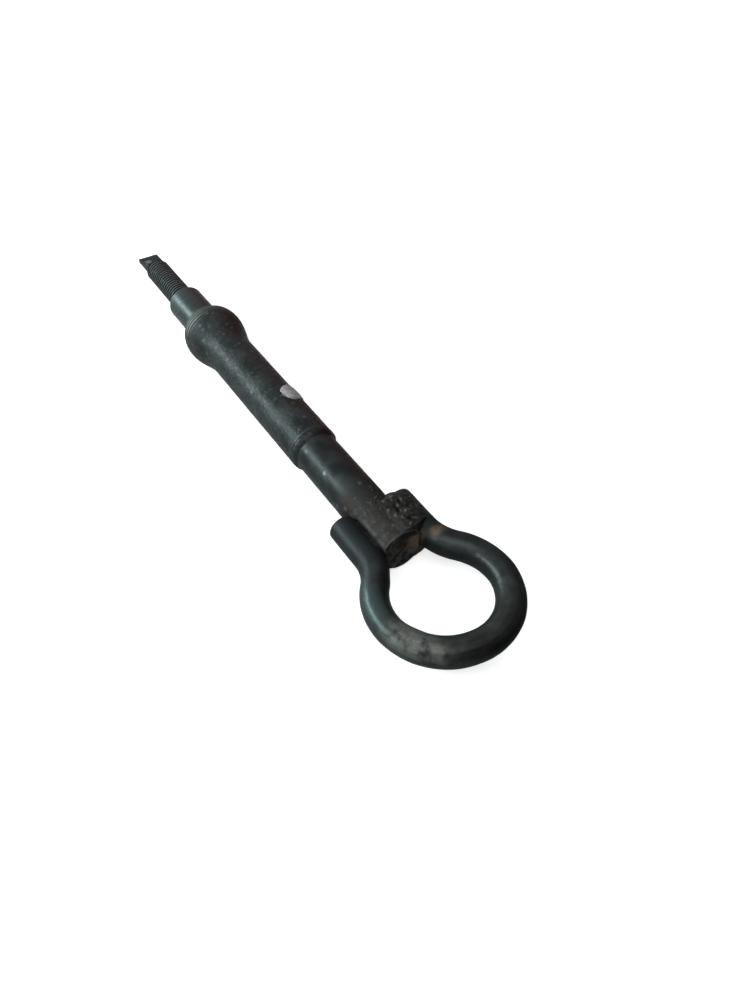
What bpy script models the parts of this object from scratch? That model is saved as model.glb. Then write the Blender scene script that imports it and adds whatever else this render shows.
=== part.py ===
"""Screw-in towing eye bolt, built as the real one is: turned, sleeved, bent and welded.

A threaded spindle carries a pressed-on sleeve whose front end swells into a ball-nosed bulb.
A round bar bent into an eye straddles the spindle's flattened rear end and is welded to it.

Frame: X runs along the spindle towards the threaded tip, the eye lies in the XY plane and
Z is up. The origin is on the spindle's axis at its square-cut rear end, inside the eye.
"""
import math

import bmesh
import bpy

MM = 0.001
GAP = 0.3 * MM                      # clearance between pieces that touch on the real object

# Spindle: one turned rod. Every X is measured from the rear end.
SHANK_R = 9.1 * MM
CORE_R = 8.5 * MM                   # inside the sleeve, and the pilot in front of it
SHOULDER_X = 63.0 * MM              # the shank steps down to the core here, under the rear weld
PILOT_END_X = 186.7 * MM
PILOT_EDGE = 0.7 * MM               # chamfer on the pilot's front edge
THREAD_R = 6.0 * MM                 # M12
THREAD_PITCH = 1.75 * MM
THREAD_DEPTH = 0.6134 * THREAD_PITCH
THREAD_END_X = 221.8 * MM
THREAD_END_CHAMFER = 1.2 * MM
TANG_R = 5.1 * MM                   # half the tang's width: it keeps the rod's round sides
TANG_Z = 0.4 * MM                   # the tang is pressed a little off centre, upwards
TANG_HALF_ROOT = 4.2 * MM           # half thickness where the slope down from the thread starts
TANG_SLOPE = 2.4 * MM               # length of that slope
TANG_HALF_BASE = 1.6 * MM           # half thickness at the foot of the slope
TANG_HALF_TIP = 1.0 * MM
TANG_END_X = 233.8 * MM
FLAT_END_X = 22.0 * MM              # the two side flats that seat the eye's legs
FLAT_RUNOUT = 5.0 * MM

# Sleeve: a tube over the core, with a bulb that ends in a round nose.
SLEEVE_REAR_X = 64.1 * MM
BARREL_R = 10.25 * MM
BULB_START_X = 134.4 * MM
BULB_MAX_X = 153.8 * MM
BULB_R = 13.8 * MM
NOSE_END_X = 163.5 * MM
NOSE_END_R = 8.45 * MM
NOSE_LIP = 0.35 * MM                # wall left where the nose runs out on the pilot

# Rear weld: a bead right round the shank, against the sleeve's rear edge.
SLEEVE_WELD_REAR_X = 60.4 * MM
SLEEVE_WELD_R = 10.33 * MM
SLEEVE_WELD_SWEEP = 0.75            # share of a half turn that its rounded back covers

# Eye: a round bar with two straight legs, two reverse bends and a loop.
BAR_R = 5.5 * MM
LEG_Y = 12.7 * MM                   # leg centreline from the spindle's axis
LEG_Z = 0.4 * MM                    # the legs sit this much above the axis
EYE_RISE = 1.4 * MM                 # and the loop's far side this much above the legs
LEFT_LEG_END_X = 21.5 * MM          # +Y side
RIGHT_LEG_END_X = 22.0 * MM         # -Y side
BEND_START_X = 4.25 * MM
LOOP_X = -24.5 * MM
LOOP_R = 23.4 * MM                  # loop centreline
LEG_EDGE = 1.3 * MM                 # rounding of the legs' cut ends

# Eye welds: toe angles in degrees, from +Y round the shank or round the leg.
WELD_ROOT = 148
WELD_MIN_ROUND_TOE = 42
WELD_MIN_LEG_TOE = 138
WELD_LEAN = 0.35                    # the crown leans to the leg by this share of its height
WELD_END_PHASE = 0.12               # each end starts this far into a half wave
WELD_LUMP = 0.12                    # share by which the crown varies
WELD_LUMP_PHASE = 5.3               # radians of that variation from section to section
# name, side (+1 is +Y), face (+1 is the top), X of both ends, (shank toe, leg toe), crown
EYE_WELDS = (
    ("weld_left_top", 1, 1, (2.5 * MM, 19.0 * MM), (29, 122), 0.5 * MM),
    ("weld_right_top", -1, 1, (0.5 * MM, 20.0 * MM), (74, 84), 3.0 * MM),
    ("weld_left_bottom", 1, -1, (2.0 * MM, 19.0 * MM), (50, 104), 1.6 * MM),
    ("weld_right_bottom", -1, -1, (0.5 * MM, 19.5 * MM), (50, 104), 1.6 * MM),
)

# The spindle is flattened so that each leg lies against it.
FLAT_Y = LEG_Y - BAR_R - GAP

TURN_STEPS = 24
BAR_SIDES = 20


class MeshBuilder:
    """Collects faces for one closed body; points that coincide become one vertex."""

    def __init__(self):
        self.bm = bmesh.new()
        self.known = {}

    def vert(self, point):
        key = tuple(round(value * 1e7) for value in point)
        if key not in self.known:
            self.known[key] = self.bm.verts.new(point)
        return self.known[key]

    def face(self, points):
        corners = []
        for point in points:
            corner = self.vert(point)
            if corner not in corners:
                corners.append(corner)
        if len(corners) > 2 and self.bm.faces.get(corners) is None:
            self.bm.faces.new(corners)

    def band(self, ring_a, ring_b):
        """Join two rings of equally many points."""
        count = len(ring_a)
        for index in range(count):
            after = (index + 1) % count
            self.face((ring_a[index], ring_a[after], ring_b[after], ring_b[index]))

    def loft(self, rings, closed=False):
        """Skin a row of rings, capped at both ends or closed into a torus."""
        for ring_a, ring_b in zip(rings, rings[1:]):
            self.band(ring_a, ring_b)
        if closed:
            self.band(rings[-1], rings[0])
        else:
            self.face(rings[0])
            self.face(rings[-1])

    def finish(self, name, material, smooth_angle=35):
        """Turn the faces into a named object whose normals point out."""
        bmesh.ops.recalc_face_normals(self.bm, faces=self.bm.faces)
        mesh = bpy.data.meshes.new(name)
        self.bm.to_mesh(mesh)
        self.bm.free()
        mesh.materials.append(material)
        mesh.shade_smooth()
        mesh.set_sharp_from_angle(angle=math.radians(smooth_angle))
        obj = bpy.data.objects.new(name, mesh)
        bpy.context.collection.objects.link(obj)
        return obj


def clear_scene():
    for obj in list(bpy.data.objects):
        bpy.data.objects.remove(obj, do_unlink=True)


def steel(name, colour, roughness, metallic):
    """A Principled material for one finish of the steel."""
    material = bpy.data.materials.new(name)
    material.use_nodes = True
    shader = material.node_tree.nodes["Principled BSDF"]
    shader.inputs["Base Color"].default_value = (*colour, 1.0)
    shader.inputs["Roughness"].default_value = roughness
    shader.inputs["Metallic"].default_value = metallic
    return material


def clamp(value, low, high):
    return max(low, min(high, value))


def circle(x, radius, half_y=None, half_z=None, rise=0.0):
    """A ring round the X axis, pressed flat where it would pass half_y or half_z, and raised."""
    points = []
    for step in range(TURN_STEPS):
        angle = math.tau * step / TURN_STEPS
        y = radius * math.cos(angle)
        z = radius * math.sin(angle)
        if half_y is not None:
            y = clamp(y, -half_y, half_y)
        if half_z is not None:
            z = clamp(z, -half_z, half_z)
        points.append((x, y, z + rise))
    return points


def thread_radius(phase):
    """Radius of the metric thread at a phase of 0 to 1 along one pitch, starting at a crest."""
    crest = 0.125
    root_start = 0.4375
    root_end = 0.6875
    if phase <= crest:
        drop = 0.0
    elif phase < root_start:
        drop = (phase - crest) / (root_start - crest)
    elif phase <= root_end:
        drop = 1.0
    else:
        drop = (1.0 - phase) / (1.0 - root_end)
    return THREAD_R - THREAD_DEPTH * drop


def thread_point(turns, angle):
    """Point of the helical surface, held within the thread's length."""
    x = clamp(PILOT_END_X + turns * THREAD_PITCH, PILOT_END_X, THREAD_END_X)
    phase = ((x - PILOT_END_X) / THREAD_PITCH - angle / math.tau) % 1.0
    radius = thread_radius(phase)
    chamfer = TANG_R + (THREAD_END_X - x) / THREAD_END_CHAMFER * (THREAD_R - TANG_R)
    radius = min(radius, max(chamfer, TANG_R))
    return (x, radius * math.cos(angle), radius * math.sin(angle))


def add_thread(builder):
    """Skin the helix; returns its first and last rings."""
    stations = (0.0, 0.125, 0.4375, 0.6875)
    turns = math.ceil((THREAD_END_X - PILOT_END_X) / THREAD_PITCH) + 2
    rows = [turn + station - 1.0 for turn in range(turns + 1) for station in stations]
    columns = []
    for step in range(TURN_STEPS):
        angle = math.tau * step / TURN_STEPS
        columns.append([thread_point(row + step / TURN_STEPS, angle) for row in rows])
    per_turn = len(stations)
    for step in range(TURN_STEPS):
        here = columns[step]
        if step < TURN_STEPS - 1:
            there = columns[step + 1]
        else:
            there = columns[0][per_turn:] + [columns[0][-1]] * per_turn
        for row in range(len(rows) - 1):
            builder.face((here[row], here[row + 1], there[row + 1], there[row]))
    return [column[0] for column in columns], [column[-1] for column in columns]


def build_spindle(material):
    """Tang, thread, pilot, core and shank, turned from one rod and flattened at the rear."""
    builder = MeshBuilder()
    rings = [
        circle(0.0, SHANK_R, half_y=FLAT_Y),
        circle(FLAT_END_X, SHANK_R, half_y=FLAT_Y),
        circle(FLAT_END_X + FLAT_RUNOUT, SHANK_R),
        circle(SHOULDER_X, SHANK_R),
        circle(SHOULDER_X, CORE_R),
        circle(PILOT_END_X - PILOT_EDGE, CORE_R),
        circle(PILOT_END_X, CORE_R - PILOT_EDGE),
    ]
    builder.face(rings[0])
    thread_start, thread_end = add_thread(builder)
    rings.append(thread_start)
    for ring_a, ring_b in zip(rings, rings[1:]):
        builder.band(ring_a, ring_b)
    tang = [
        thread_end,
        circle(THREAD_END_X, TANG_R, half_z=TANG_HALF_ROOT, rise=TANG_Z),
        circle(THREAD_END_X + TANG_SLOPE, TANG_R, half_z=TANG_HALF_BASE, rise=TANG_Z),
        circle(TANG_END_X, TANG_R, half_z=TANG_HALF_TIP, rise=TANG_Z),
    ]
    for ring_a, ring_b in zip(tang, tang[1:]):
        builder.band(ring_a, ring_b)
    builder.face(tang[-1])
    return builder.finish("threaded_spindle", material)


def bulb_profile():
    """Outer (x, radius) points of the sleeve, rear edge to nose."""
    points = [(SLEEVE_REAR_X, BARREL_R)]
    steps = 8
    for step in range(steps + 1):
        part = step / steps
        rise = 0.5 - 0.5 * math.cos(math.pi * part)
        x = BULB_START_X + (BULB_MAX_X - BULB_START_X) * part
        points.append((x, BARREL_R + (BULB_R - BARREL_R) * rise))
    lip_r = CORE_R + GAP + NOSE_LIP
    last = math.acos((lip_r - NOSE_END_R) / (BULB_R - NOSE_END_R))
    for step in range(1, steps + 1):
        angle = last * step / steps
        x = BULB_MAX_X + (NOSE_END_X - BULB_MAX_X) * math.sin(angle)
        points.append((x, NOSE_END_R + (BULB_R - NOSE_END_R) * math.cos(angle)))
    return points


def build_sleeve(material):
    """Tube with a bulb, bored to slide over the spindle's core."""
    profile = bulb_profile()
    bore_r = CORE_R + GAP
    rings = [circle(x, radius) for x, radius in profile]
    rings.append(circle(profile[-1][0], bore_r))
    rings.append(circle(SLEEVE_REAR_X, bore_r))
    builder = MeshBuilder()
    builder.loft(rings, closed=True)
    return builder.finish("bulb_sleeve", material)


def build_sleeve_weld(material):
    """Round bead that closes the joint between the shank and the sleeve's rear edge."""
    inner_r = SHANK_R + GAP
    front_x = SLEEVE_REAR_X - GAP
    rings = [circle(front_x, inner_r), circle(SLEEVE_WELD_REAR_X, inner_r)]
    steps = 6
    for step in range(1, steps + 1):
        part = step / steps
        x = SLEEVE_WELD_REAR_X + (front_x - SLEEVE_WELD_REAR_X) * part
        rise = math.sin(SLEEVE_WELD_SWEEP * math.pi * part)
        rings.append(circle(x, inner_r + (SLEEVE_WELD_R - inner_r) * rise))
    builder = MeshBuilder()
    builder.loft(rings, closed=True)
    return builder.finish("sleeve_weld", material)


def bend_radius():
    """Radius of the reverse bends that join the legs to the loop without a kink."""
    run = BEND_START_X - LOOP_X
    return (run * run + LEG_Y * LEG_Y - LOOP_R * LOOP_R) / (2 * (LOOP_R - LEG_Y))


def eye_half_path():
    """Centreline (x, y) of the +Y half: bend start, reverse bend, loop to its far side."""
    radius = bend_radius()
    bend_x = BEND_START_X
    bend_y = LEG_Y + radius
    tangent = math.atan2(bend_y, bend_x - LOOP_X)
    points = []
    steps = 5
    for step in range(steps + 1):
        angle = -math.pi / 2 - (math.pi / 2 - tangent) * step / steps
        points.append((bend_x + radius * math.cos(angle), bend_y + radius * math.sin(angle)))
    for start, stop, steps in ((tangent, math.pi / 2, 5), (math.pi / 2, math.pi, 12)):
        for step in range(1, steps + 1):
            angle = start + (stop - start) * step / steps
            points.append((LOOP_X + LOOP_R * math.cos(angle), LOOP_R * math.sin(angle)))
    return points


def eye_height(x):
    """Centreline height: level along the legs, then rising slowly to the loop's far side."""
    part = (BEND_START_X - x) / (BEND_START_X - LOOP_X + LOOP_R)
    return LEG_Z + EYE_RISE * clamp(part, 0.0, 1.0)


def bar_ring(centre, direction, radius):
    """Ring across the bar, square to its direction in plan."""
    length = math.hypot(*direction)
    side_x = direction[1] / length
    side_y = -direction[0] / length
    points = []
    for step in range(BAR_SIDES):
        angle = math.tau * step / BAR_SIDES
        out = radius * math.cos(angle)
        up = radius * math.sin(angle)
        points.append((centre[0] + side_x * out, centre[1] + side_y * out, centre[2] + up))
    return points


def leg_end_rings(end_x, leg_y, direction):
    """Rounded end of a leg, from the cut face to the full section."""
    rings = []
    steps = 3
    for step in range(steps + 1):
        angle = math.pi / 2 * step / steps
        x = end_x - LEG_EDGE * (1 - math.cos(angle))
        radius = BAR_R - LEG_EDGE * (1 - math.sin(angle))
        rings.append(bar_ring((x, leg_y, LEG_Z), direction, radius))
    return rings


def build_eye(material):
    """The bent bar, skinned from one leg's end right round to the other's."""
    half = eye_half_path()
    path = half + [(x, -y) for x, y in reversed(half[:-1])]
    rings = leg_end_rings(LEFT_LEG_END_X, LEG_Y, (-1.0, 0.0))
    for index, (x, y) in enumerate(path):
        before = path[max(index - 1, 0)]
        after = path[min(index + 1, len(path) - 1)]
        direction = (after[0] - before[0], after[1] - before[1])
        if index == 0:
            direction = (-1.0, 0.0)
        if index == len(path) - 1:
            direction = (1.0, 0.0)
        rings.append(bar_ring((x, y, eye_height(x)), direction, BAR_R))
    rings += reversed(leg_end_rings(RIGHT_LEG_END_X, -LEG_Y, (1.0, 0.0)))
    builder = MeshBuilder()
    builder.loft(rings)
    return builder.finish("eye_bar", material)


def weld_section(shank_toe, leg_toe, crown, leg_z):
    """Outline (y, z) of a fillet weld in the groove between the shank and the +Y leg.

    The toes are angles in degrees from +Y, round the shank's axis and round the leg's axis.
    A small shank toe angle ends the weld on the flat, a large one on the round above it.
    """
    near_shank = SHANK_R + GAP
    near_leg = BAR_R + GAP
    flat_y = FLAT_Y + GAP
    corner = math.degrees(math.acos(flat_y / near_shank))
    outline = []
    for step in range(4):
        angle = math.radians(leg_toe + (WELD_ROOT - leg_toe) * step / 3)
        outline.append((LEG_Y + near_leg * math.cos(angle), leg_z + near_leg * math.sin(angle)))
    outline.append((flat_y, outline[-1][1]))
    if shank_toe > corner:
        for step in range(3):
            angle = math.radians(corner + (shank_toe - corner) * step / 2)
            outline.append((near_shank * math.cos(angle), near_shank * math.sin(angle)))
    else:
        outline.append((flat_y, flat_y * math.tan(math.radians(shank_toe))))
    start = outline[-1]
    stop = outline[0]
    middle = ((start[0] + stop[0]) / 2, (start[1] + stop[1]) / 2)
    peak = (middle[0] + WELD_LEAN * crown, middle[1] + crown)
    steps = 5
    for step in range(1, steps):
        part = step / steps
        outline.append(tuple(
            (1 - part) ** 2 * start[axis]
            + 2 * part * (1 - part) * peak[axis]
            + part ** 2 * stop[axis]
            for axis in range(2)
        ))
    return outline


def build_eye_weld(name, material, side, face, ends, toes, crown):
    """Fillet weld along one leg; side is +1 for +Y, face is +1 for the top."""
    rings = []
    steps = 8
    for step in range(steps + 1):
        part = step / steps
        x = ends[0] + (ends[1] - ends[0]) * part
        phase = WELD_END_PHASE + (1.0 - 2.0 * WELD_END_PHASE) * part
        swell = math.sqrt(math.sin(math.pi * phase))
        lump = 1.0 + WELD_LUMP * math.sin(WELD_LUMP_PHASE * step)
        if toes[0] > WELD_MIN_ROUND_TOE:
            shank_toe = WELD_MIN_ROUND_TOE + (toes[0] - WELD_MIN_ROUND_TOE) * swell
        else:
            shank_toe = toes[0]
        leg_toe = WELD_MIN_LEG_TOE + (toes[1] - WELD_MIN_LEG_TOE) * swell
        section = weld_section(shank_toe, leg_toe, crown * swell * lump, LEG_Z * face)
        rings.append([(x, side * y, face * z) for y, z in section])
    builder = MeshBuilder()
    builder.loft(rings)
    return builder.finish(name, material, smooth_angle=50)


def main():
    clear_scene()
    dark_steel = steel("spindle_steel", (0.055, 0.062, 0.062), 0.42, 0.85)
    sleeve_steel = steel("sleeve_steel", (0.062, 0.066, 0.066), 0.48, 0.8)
    bar_steel = steel("eye_steel", (0.05, 0.056, 0.056), 0.45, 0.8)
    weld_metal = steel("weld_metal", (0.11, 0.10, 0.09), 0.6, 0.75)
    build_spindle(dark_steel)
    build_sleeve(sleeve_steel)
    build_sleeve_weld(weld_metal)
    build_eye(bar_steel)
    for name, side, face, ends, toes, crown in EYE_WELDS:
        build_eye_weld(name, weld_metal, side, face, ends, toes, crown)


main()
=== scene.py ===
import math
import random

import bmesh
import bpy
from mathutils import Matrix, Quaternion, Vector, noise


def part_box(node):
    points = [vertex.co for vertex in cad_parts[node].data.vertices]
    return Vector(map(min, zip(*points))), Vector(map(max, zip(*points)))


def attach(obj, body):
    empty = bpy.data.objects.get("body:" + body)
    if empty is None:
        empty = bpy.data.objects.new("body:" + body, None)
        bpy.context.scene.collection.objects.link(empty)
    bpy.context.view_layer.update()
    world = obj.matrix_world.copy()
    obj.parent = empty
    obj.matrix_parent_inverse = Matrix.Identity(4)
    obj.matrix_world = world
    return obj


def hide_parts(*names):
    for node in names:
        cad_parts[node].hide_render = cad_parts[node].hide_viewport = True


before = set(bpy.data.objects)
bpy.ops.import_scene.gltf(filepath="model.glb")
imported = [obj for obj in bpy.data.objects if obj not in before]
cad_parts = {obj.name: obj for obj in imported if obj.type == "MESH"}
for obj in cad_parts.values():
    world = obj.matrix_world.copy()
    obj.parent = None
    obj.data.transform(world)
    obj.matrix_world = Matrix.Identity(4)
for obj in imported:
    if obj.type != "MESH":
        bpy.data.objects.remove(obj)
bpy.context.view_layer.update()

MM = 0.001
WORN = "worn"                       # mesh attribute that holds where the black is knocked off, and the tang's painted highlight


def box_mm(node):
    low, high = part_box(node)
    return low / MM, high / MM


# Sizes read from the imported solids.
SPINDLE_HIGH = box_mm("threaded_spindle")[1]
SLEEVE_LOW, SLEEVE_HIGH = box_mm("bulb_sleeve")
BEAD_LOW, BEAD_HIGH = box_mm("sleeve_weld")
EYE_HIGH = box_mm("eye_bar")[1]
SHANK_R = SPINDLE_HIGH.z
TIP_X = SPINDLE_HIGH.x
SLEEVE_REAR_X = SLEEVE_LOW.x
NOSE_END_X = SLEEVE_HIGH.x
BULB_R = SLEEVE_HIGH.z
BEAD_R = BEAD_HIGH.z
BEAD_REAR_X = BEAD_LOW.x
RIGHT_LEG_END_X = EYE_HIGH.x
LEFT_LEG_END_X = RIGHT_LEG_END_X - 0.5

# Spindle details.
ROUGH_END_X = 34.0                  # the heat of welding has roughened the shank up to here
CORE_R = 8.5
PILOT_START_X = 163.0               # just inside the sleeve's nose
PILOT_END_X = 186.7
THREAD_R = 6.0
THREAD_PITCH = 1.75
THREAD_DEPTH = 1.07
THREAD_END_X = 221.8
TANG_R = 5.1
TANG_Z = 0.4
TANG_SLOPE = 2.4
TANG_HALF_ROOT = 4.4                # half thickness where the thread ends
TANG_HALF_BASE = 1.6
TANG_HALF_TIP = 1.0
REAR_FACE_X = 0.02
REAR_EDGE = 0.45
FLAT_Y = 7.6                        # the flats that seat the eye's legs
FLAT_END_X = 22.0
FLAT_RUNOUT = 5.5

# Sleeve details.
BARREL_R = 10.25
BULB_START_X = 134.4
BULB_MAX_X = 153.8
NOSE_END_R = 8.6

# Eye details.
BAR_R = 5.5
LEG_Y = 12.7
LEG_Z = 0.4
EYE_RISE = 1.4
BEND_START_X = 4.25
LOOP_X = -24.5
LOOP_R = EYE_HIGH.y - BAR_R
LEG_EDGE = 1.3


# ---------------- small helpers

def clamp(value, low=0.0, high=1.0):
    return max(low, min(high, value))


def smooth(low, high, value):
    """0 at low, 1 at high, with a soft start and end; low may be the larger."""
    part = clamp((value - low) / (high - low))
    return part * part * (3.0 - 2.0 * part)


def steps(start, stop, pitch):
    """Evenly spaced values from start to stop, about pitch apart, both ends included."""
    count = max(1, round(abs(stop - start) / pitch))
    return [start + (stop - start) * index / count for index in range(count + 1)]


def soft_limit(value, limit, softness):
    """Value held within +-limit, bending over softly."""
    size = abs(value)
    if size <= limit - softness:
        return value
    if size >= limit + softness:
        return math.copysign(limit, value)
    part = (size - limit + softness) / (2.0 * softness)
    return math.copysign(size - softness * part * part, value)


def bumps(point, size, seed=0.0):
    """Smooth noise from -1 to 1 with lumps about size millimetres across."""
    return noise.noise(point / size + Vector((seed, 1.7 * seed, -seed)))


def craters(point, size, share, seed=0.0):
    """0 to 1, highest in the middle of round spots that fill a share of the cells."""
    spot = point / size + Vector((seed, -seed, 0.6 * seed))
    distances, centres = noise.voronoi(spot)
    if noise.cell(centres[0] * 7.3) > share * 2.0 - 1.0:
        return 0.0
    return smooth(0.42, 0.1, distances[0])


def add_object(name, data):
    obj = bpy.data.objects.new(name, data)
    bpy.context.collection.objects.link(obj)
    return obj


def skin(name, rings, sharp, closed=False):
    """Mesh object from rings of points in millimetres, capped with fans or closed to a torus."""
    count = len(rings[0])
    points = [point for ring in rings for point in ring]
    faces = []
    last = len(rings) - 1
    for row in range(last + 1 if closed else last):
        here = row * count
        there = ((row + 1) % len(rings)) * count
        for step in range(count):
            after = (step + 1) % count
            faces.append((here + step, here + after, there + after, there + step))
    if not closed:
        for start in (0, last * count):
            middle = sum((Vector(point) for point in points[start:start + count]), Vector()) / count
            points.append(middle)
            hub = len(points) - 1
            for step in range(count):
                faces.append((start + step, start + (step + 1) % count, hub))
    return solid(name, points, faces, sharp)


def solid(name, points, faces, sharp):
    """Closed mesh object with outward normals, smooth except at edges over sharp degrees."""
    mesh = bpy.data.meshes.new(name)
    mesh.from_pydata([Vector(point) * MM for point in points], [], faces)
    shape = bmesh.new()
    shape.from_mesh(mesh)
    bmesh.ops.recalc_face_normals(shape, faces=shape.faces)
    if shape.calc_volume(signed=True) < 0.0:
        bmesh.ops.reverse_faces(shape, faces=shape.faces)
    shape.to_mesh(mesh)
    shape.free()
    mesh.shade_smooth()
    mesh.set_sharp_from_angle(angle=math.radians(sharp))
    return add_object(name, mesh)


def wear_away(obj, depth):
    """Move each vertex inwards by depth(point), both in millimetres."""
    vertices = obj.data.vertices
    normals = [vertex.normal.copy() for vertex in vertices]
    for vertex, normal in zip(vertices, normals):
        vertex.co -= normal * (depth(vertex.co / MM) * MM)
    obj.data.update()


def round_axis(x, radius, angle):
    return (x, radius * math.cos(angle), radius * math.sin(angle))


def polar_ring(x, sides, radius_at):
    """Ring of points round the X axis; radius_at gives the radius at an angle."""
    angles = [math.tau * step / sides for step in range(sides)]
    return [round_axis(x, radius_at(angle), angle) for angle in angles]


def round_ring(x, radius, sides):
    return polar_ring(x, sides, lambda angle: radius)


def mark_worn(obj, rule):
    """Store rule(point), 0 to 1, on each vertex; the finishes show it as rubbed metal, and on the tang as
    a painted highlight.
    """
    worn = obj.data.attributes.new(WORN, "FLOAT", "POINT")
    for index, vertex in enumerate(obj.data.vertices):
        worn.data[index].value = clamp(rule(vertex.co / MM))


def place_piece(obj, material, slot, *nodes):
    """Give a piece its finish and body, and let it stand for its CAD nodes."""
    obj.data.materials.clear()
    obj.data.materials.append(material)
    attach(obj, "root")
    if nodes:
        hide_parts(*nodes)
    return obj


# ---------------- spindle

SPINDLE_SIDES = 112


def turned_ring(x, radius, flat=None):
    """Ring of the spindle; flat is the half width between the two side flats."""
    ring = []
    for step in range(SPINDLE_SIDES):
        angle = math.tau * step / SPINDLE_SIDES
        y = radius * math.cos(angle)
        if flat is not None:
            y = soft_limit(y, flat, 0.3)
        ring.append((x, y, radius * math.sin(angle)))
    return ring


def shrink(ring, x, scale, middle_z=0.0):
    return [(x, y * scale, middle_z + (z - middle_z) * scale) for _, y, z in ring]


def shank_rings():
    """Saw-cut rear face, flats, run-outs and plain shank up to the sleeve.

    The rounded edge starts in front of the flat face, so its first ring is joined on first and
    the face is folded behind it.
    """
    full = turned_ring(0.0, SHANK_R, FLAT_Y)
    edge_rings = []
    for angle in steps(0.2, math.pi / 2, 0.34):
        x = REAR_EDGE * (1.0 - math.cos(angle))
        inset = REAR_EDGE * (1.0 - math.sin(angle))
        edge_rings.append(shrink(full, x, 1.0 - inset / SHANK_R))
    face_rings = [shrink(full, REAR_FACE_X, scale) for scale in steps(0.08, 0.94, 0.06)]
    rings = edge_rings[:1] + face_rings + edge_rings[1:]
    for x in steps(1.0, SLEEVE_REAR_X, 0.7):
        rise = smooth(FLAT_END_X, FLAT_END_X + FLAT_RUNOUT, x)
        flat = FLAT_Y + (SHANK_R + 0.4 - FLAT_Y) * rise
        rings.append(turned_ring(x, SHANK_R, flat))
    return rings


def pilot_rings():
    """Hidden core, then the plain pilot with its rounded front edge."""
    edge = 0.9
    rings = [turned_ring(x, CORE_R - 0.1) for x in (SLEEVE_REAR_X + 0.4, NOSE_END_X - 3.0)]
    rings += [turned_ring(x, CORE_R) for x in steps(NOSE_END_X - 1.5, PILOT_END_X - edge, 0.4)]
    for angle in steps(0.3, math.pi / 2, 0.32):
        x = PILOT_END_X - edge * (1.0 - math.sin(angle))
        rings.append(turned_ring(x, CORE_R - edge * (1.0 - math.cos(angle))))
    rings.append(turned_ring(PILOT_END_X, 6.8))
    return rings


def thread_radius(x, angle):
    """Radius of the rolled thread: rounded crests and roots, shallow at both ends."""
    phase = ((x - PILOT_END_X) / THREAD_PITCH - angle / math.tau) % 1.0
    slope = clamp((abs(phase - 0.5) - 0.06) / 0.36)
    cut = 0.5 * slope + 0.5 * (0.5 - 0.5 * math.cos(math.pi * slope))
    root = THREAD_R - THREAD_DEPTH
    crest_wear = 0.10 + 0.09 * bumps(Vector((x, 4.0 * angle, 0.0)), 2.2, 3.0)
    radius = THREAD_R - max(crest_wear * (1.0 - cut), 0.0) - THREAD_DEPTH * cut
    neck = smooth(PILOT_END_X + 2.8, PILOT_END_X + 1.4, x)
    radius += (root + 0.25 - radius) * neck
    chamfer = TANG_R - 0.1 + (THREAD_END_X - x) * 0.8
    return min(radius, chamfer)


def thread_rings():
    stations = steps(PILOT_END_X + 0.12, THREAD_END_X, THREAD_PITCH / 16.0)
    return [polar_ring(x, SPINDLE_SIDES, lambda angle: thread_radius(x, angle)) for x in stations]


def tang_ring(x, half):
    """Flat-sided section with round edges; the corners keep the same vertices all along."""
    per_quarter = SPINDLE_SIDES // 4
    side_steps = 7
    radius = TANG_R
    corner = math.asin(half / radius)
    quarter = []
    for step in range(per_quarter):
        if step <= side_steps:
            angle = corner * (step / side_steps) ** 0.8
            y = radius * math.cos(angle)
            z = radius * math.sin(angle)
            if step == side_steps:
                y -= 0.08
                z -= 0.06
        else:
            part = (step - side_steps) / (per_quarter - side_steps)
            y = (radius * math.cos(corner) - 0.25) * (1.0 - part) ** 0.9
            z = half
        quarter.append((y, z))
    ring = []
    for turn in range(SPINDLE_SIDES):
        quadrant, step = divmod(turn, per_quarter)
        if quadrant in (0, 2):
            y, z = quarter[step]
        else:
            y, z = quarter[per_quarter - step] if step else (0.0, half)
        if quadrant in (1, 2):
            y = -y
        if quadrant in (2, 3):
            z = -z
        ring.append((x, y, z + TANG_Z))
    return ring


def tang_rings():
    rings = []
    for x in steps(THREAD_END_X + 0.1, TIP_X - 0.25, 0.3):
        part = (x - THREAD_END_X) / (TIP_X - THREAD_END_X)
        slope = smooth(THREAD_END_X + TANG_SLOPE + 0.8, THREAD_END_X - 1.2, x)
        half = TANG_HALF_BASE + (TANG_HALF_TIP - TANG_HALF_BASE) * part
        half += (TANG_HALF_ROOT - TANG_HALF_BASE) * slope
        rings.append(tang_ring(x, half))
    tip = tang_ring(TIP_X, TANG_HALF_TIP)
    for inset, scale in ((0.08, 0.985), (0.0, 0.95), (0.0, 0.8), (0.0, 0.5), (0.0, 0.2)):
        rings.append(shrink(tip, TIP_X - inset, scale, TANG_Z))
    return rings


def spindle_wear(point):
    """Depth taken off the spindle: saw marks, handling dents, lathe marks and pits."""
    if point.x < REAR_EDGE:
        saw = 0.5 + 0.5 * math.sin(3.1 * point.z + 1.3 * bumps(point, 3.0))
        return -0.02 + 0.10 * saw + 0.22 * (0.5 + 0.5 * bumps(point, 2.6, 2.0))
    if point.x > THREAD_END_X + 0.3:
        return 0.05 + 0.09 * bumps(point, 2.4, 5.0) + 0.05 * bumps(point, 0.9, 6.0)
    if point.x > PILOT_END_X:
        return 0.0
    if point.x > SLEEVE_REAR_X:
        return 0.012 + 0.012 * math.sin(7.5 * point.x)
    rough = smooth(ROUGH_END_X, 6.0, point.x)
    depth = 0.05 + 0.05 * bumps(point, 9.0) + (0.015 + 0.06 * rough) * bumps(point, 1.6, 4.0)
    return depth + (0.06 + 0.12 * rough) * craters(point, 2.4, 0.22)
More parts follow.
